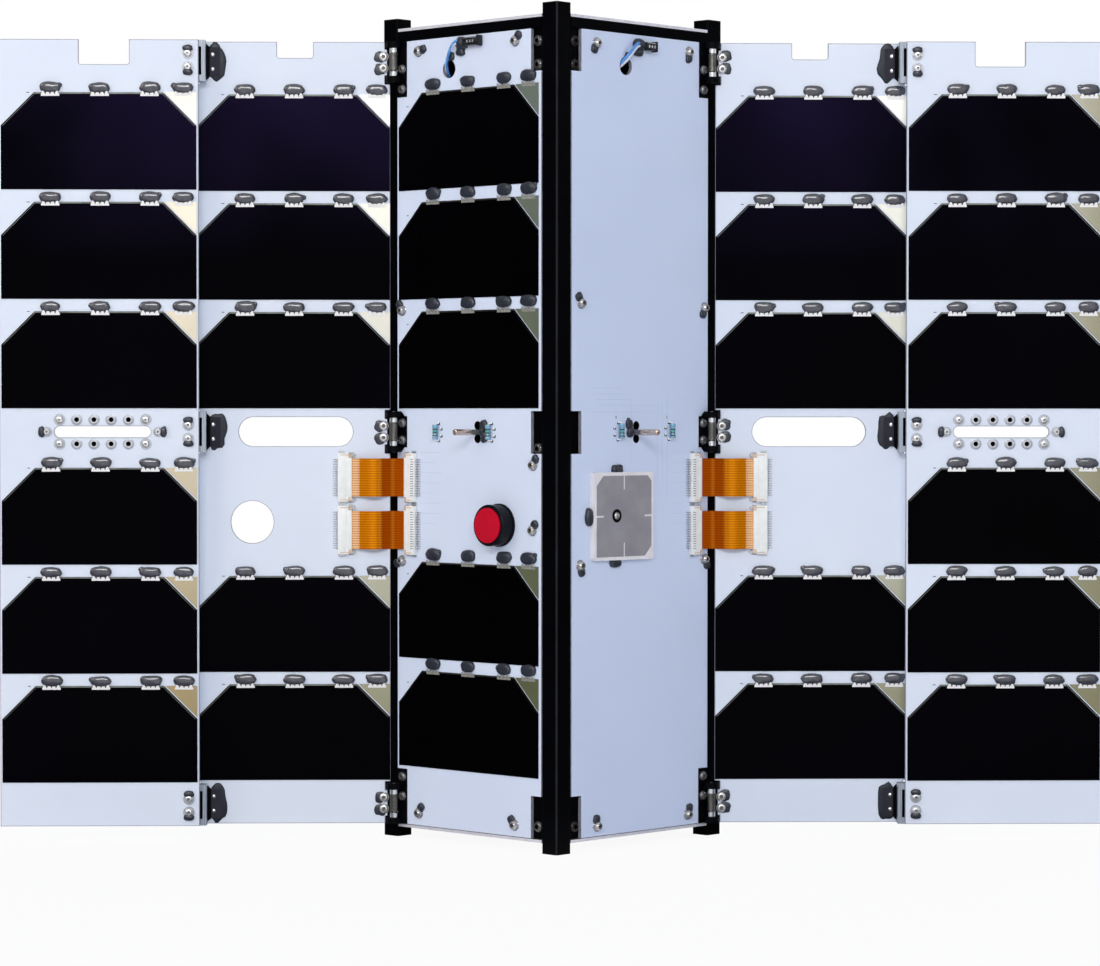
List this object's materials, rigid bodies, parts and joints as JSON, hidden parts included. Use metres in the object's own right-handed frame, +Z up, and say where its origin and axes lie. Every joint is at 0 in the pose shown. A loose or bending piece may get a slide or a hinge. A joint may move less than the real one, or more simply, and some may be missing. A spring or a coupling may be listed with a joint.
{
  "type": "nanosatellite with folding solar wings",
  "caption": "Slender square-section small satellite on corner rails, with double-folding solar wings, a patch antenna, an arming cap and flat cables across sprung hinges.",
  "frame": {"origin": "on the floor at the centre of the four rail feet, below the middle of the body", "axes": "+Z up along the rails, +X along the open wings, -Y towards the side with the cells"},
  "size_m": [0.4572, 0.1406, 0.3405],
  "materials": {
    "anodised_black": "matt black anodised aluminium",
    "bare_aluminium": "milled aluminium",
    "board_white": "white solder mask on glass epoxy board",
    "solar_cell": "coated cover glass over a dark cell",
    "diode_gold": "gold plated bypass diode",
    "ceramic": "patch antenna ceramic",
    "silver_plate": "silver plated antenna patch",
    "cap_black": "moulded black cap",
    "cap_red": "red disc",
    "steel": "stainless steel",
    "socket_white": "moulded connector",
    "polyimide": "orange polyimide flat cable",
    "wire_blue": "insulated wire",
    "hinge_black": "black anodised hinge part",
    "avionics": "plain block for the closed-in electronics and batteries"
  },
  "bodies": {
    "bus": {"rail_front": "anodised_black", "rail_right": "anodised_black", "rail_back": "anodised_black", "rail_left": "anodised_black", "frame_top": "anodised_black", "frame_middle": "anodised_black", "frame_bottom": "anodised_black", "top_plate": "bare_aluminium", "bottom_plate": "bare_aluminium", "avionics_stack": "avionics", "board_front_left": "board_white", "board_front_right": "board_white", "board_back_left": "board_white", "board_back_right": "board_white", "face_cells": "solar_cell", "face_diodes": "diode_gold", "arming_cap": "cap_black", "arming_disc": "cap_red", "antenna_ceramic": "ceramic", "antenna_metal": "silver_plate", "hold_down_studs": "steel", "wire_plugs": "socket_white", "wire_leads": "wire_blue", "face_sockets_left": "socket_white", "flat_cables_left": "polyimide", "root_bus_leaves_left": "hinge_black", "root_pins_left": "steel", "root_springs_left": "steel", "face_sockets_right": "socket_white", "flat_cables_right": "polyimide", "root_bus_leaves_right": "hinge_black", "root_pins_right": "steel", "root_springs_right": "steel"},
    "inner_left": {"inner_board_left": "board_white", "inner_cells_left": "solar_cell", "inner_diodes_left": "diode_gold", "inner_sockets_left": "socket_white", "root_panel_leaves_left": "bare_aluminium", "mid_brackets_left": "hinge_black", "mid_pins_left": "steel"},
    "outer_left": {"outer_board_left": "board_white", "outer_cells_left": "solar_cell", "outer_diodes_left": "diode_gold", "mid_outer_leaves_left": "bare_aluminium", "lace_nuts_left": "hinge_black"},
    "inner_right": {"inner_board_right": "board_white", "inner_cells_right": "solar_cell", "inner_diodes_right": "diode_gold", "inner_sockets_right": "socket_white", "root_panel_leaves_right": "bare_aluminium", "mid_brackets_right": "hinge_black", "mid_pins_right": "steel"},
    "outer_right": {"outer_board_right": "board_white", "outer_cells_right": "solar_cell", "outer_diodes_right": "diode_gold", "mid_outer_leaves_right": "bare_aluminium", "lace_nuts_right": "hinge_black"}
  },
  "joints": [
    {"name": "left_root", "type": "hinge", "parent": "bus", "child": "inner_left", "pos_m": [-0.06618, -0.00877, 0.1689], "axis": [0, 0, 1], "range_deg": [0, 135], "stiffness_Nm_per_rad": 0.01, "springref_deg": -89.95, "deforming": ["flat_cables_left"]},
    {"name": "left_mid", "type": "hinge", "parent": "inner_left", "child": "outer_left", "pos_m": [-0.14638, -0.00872, 0.1689], "axis": [0, 0, -1], "range_deg": [0, 180], "stiffness_Nm_per_rad": 0.004, "springref_deg": -89.95},
    {"name": "right_root", "type": "hinge", "parent": "bus", "child": "inner_right", "pos_m": [0.06618, -0.00877, 0.1689], "axis": [0, 0, -1], "range_deg": [0, 135], "stiffness_Nm_per_rad": 0.01, "springref_deg": -89.95, "deforming": ["flat_cables_right"]},
    {"name": "right_mid", "type": "hinge", "parent": "inner_right", "child": "outer_right", "pos_m": [0.14638, -0.00872, 0.1689], "axis": [0, 0, 1], "range_deg": [0, 180], "stiffness_Nm_per_rad": 0.004, "springref_deg": -89.95}
  ],
  "couplings": [
    {"joint": "left_mid", "follows": "left_root", "ratio": 1.3333},
    {"joint": "right_mid", "follows": "right_root", "ratio": 1.3333}
  ]
}
